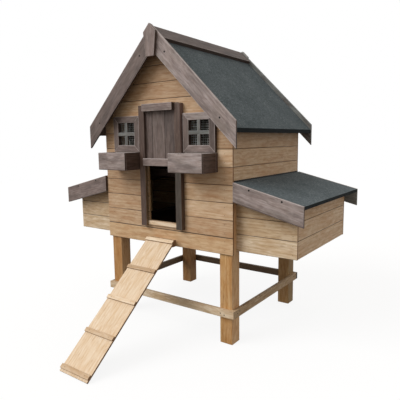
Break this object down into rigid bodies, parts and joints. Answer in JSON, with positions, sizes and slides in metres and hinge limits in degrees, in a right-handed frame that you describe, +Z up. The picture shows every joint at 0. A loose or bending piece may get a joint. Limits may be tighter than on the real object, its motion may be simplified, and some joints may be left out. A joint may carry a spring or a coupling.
{
  "type": "wooden chicken coop",
  "caption": "Raised wooden chicken coop with a steep felted gable roof, sliding pop door, cleated ramp, small windows with planters and hinged-lid nest boxes.",
  "frame": {"origin": "middle of the object's footprint, ramp and lids included, on the ground", "axes": "+Z up, -Y the way the gable with the pop hole faces, +X to the right as seen from the front"},
  "size_m": [1.656, 1.5562, 1.6749],
  "materials": {
    "pine_boards": "honey-coloured planed softwood, lightly oiled",
    "stained_pine": "thin grey-brown timber stain, grain showing through",
    "pale_pine": "bare pale softwood",
    "plywood": "bare exterior plywood",
    "film_plywood": "plywood faced with dark brown washable film",
    "roof_felt": "mineral-surfaced bitumen felt, slate grey grit",
    "zinc_steel": "zinc-plated steel",
    "brown_steel": "dark brown lacquered steel"
  },
  "bodies": {
    "house": {"leg_front_left": "pine_boards", "leg_front_right": "pine_boards", "leg_back_left": "pine_boards", "leg_back_right": "pine_boards", "rails_side": "pine_boards", "rails_cross": "pine_boards", "floor_panel": "film_plywood", "floor_bearers": "pine_boards", "skirt_boards": "pine_boards", "front_wall_boards": "pine_boards", "back_wall_boards": "pine_boards", "left_wall_boards": "pine_boards", "right_wall_boards": "pine_boards", "wall_battens": "pine_boards", "gable_rafters": "pine_boards", "ridge_beam": "pine_boards", "roof_deck_left": "plywood", "roof_deck_right": "plywood", "roof_felt_left": "roof_felt", "roof_felt_right": "roof_felt", "ridge_caps": "stained_pine", "barge_front": "stained_pine", "barge_back": "stained_pine", "finials": "stained_pine", "door_tracks": "stained_pine", "door_sill": "pale_pine", "window_frame_left": "stained_pine", "window_frame_right": "stained_pine", "window_bars": "stained_pine", "window_mesh": "zinc_steel", "planter_left": "stained_pine", "planter_right": "stained_pine", "nest_boards_left": "pine_boards", "nest_boards_right": "pine_boards", "nest_floors": "plywood", "nest_battens": "pine_boards", "nest_dividers": "plywood", "perches": "pine_boards", "perch_cradles": "pine_boards", "ramp_ledger": "pine_boards", "hinge_leaves_fixed": "brown_steel", "hinge_pins": "brown_steel"},
    "pop_door": {"pop_door_boards": "stained_pine", "pop_door_battens": "stained_pine"},
    "ramp": {"ramp_plank": "pale_pine", "ramp_cleats": "pale_pine", "ramp_hinge_leaves": "brown_steel"},
    "nest_lid_left": {"lid_deck_left": "plywood", "lid_felt_left": "roof_felt", "lid_barges_left": "stained_pine", "lid_hinge_leaves_left": "brown_steel"},
    "nest_lid_right": {"lid_deck_right": "plywood", "lid_felt_right": "roof_felt", "lid_barges_right": "stained_pine", "lid_hinge_leaves_right": "brown_steel"},
    "back_door": {"back_door_boards": "pine_boards", "back_door_ledges": "pine_boards", "back_door_hinge_leaves": "brown_steel"},
    "turn_button": {"turn_button": "pine_boards"}
  },
  "joints": [
    {"name": "pop_door_slide", "type": "slide", "parent": "house", "child": "pop_door", "axis": [0, 0, 1], "range_m": [-0.3155, 0]},
    {"name": "ramp_hinge", "type": "hinge", "parent": "house", "child": "ramp", "pos_m": [0, -0.13919, 0.5305], "axis": [-1, 0, 0], "range_deg": [0, 105]},
    {"name": "nest_lid_left_hinge", "type": "hinge", "parent": "house", "child": "nest_lid_left", "pos_m": [-0.4533, 0.29211, 0.86818], "axis": [0, 1, 0], "range_deg": [0, 88]},
    {"name": "nest_lid_right_hinge", "type": "hinge", "parent": "house", "child": "nest_lid_right", "pos_m": [0.4533, 0.29211, 0.86818], "axis": [0, -1, 0], "range_deg": [0, 88]},
    {"name": "back_door_hinge", "type": "hinge", "parent": "house", "child": "back_door", "pos_m": [-0.25, 0.69541, 0.803], "axis": [0, 0, 1], "range_deg": [0, 105]},
    {"name": "turn_button_pivot", "type": "hinge", "parent": "house", "child": "turn_button", "pos_m": [0.272, 0.69911, 0.803], "axis": [0, 1, 0], "range_deg": [0, 90]}
  ]
}
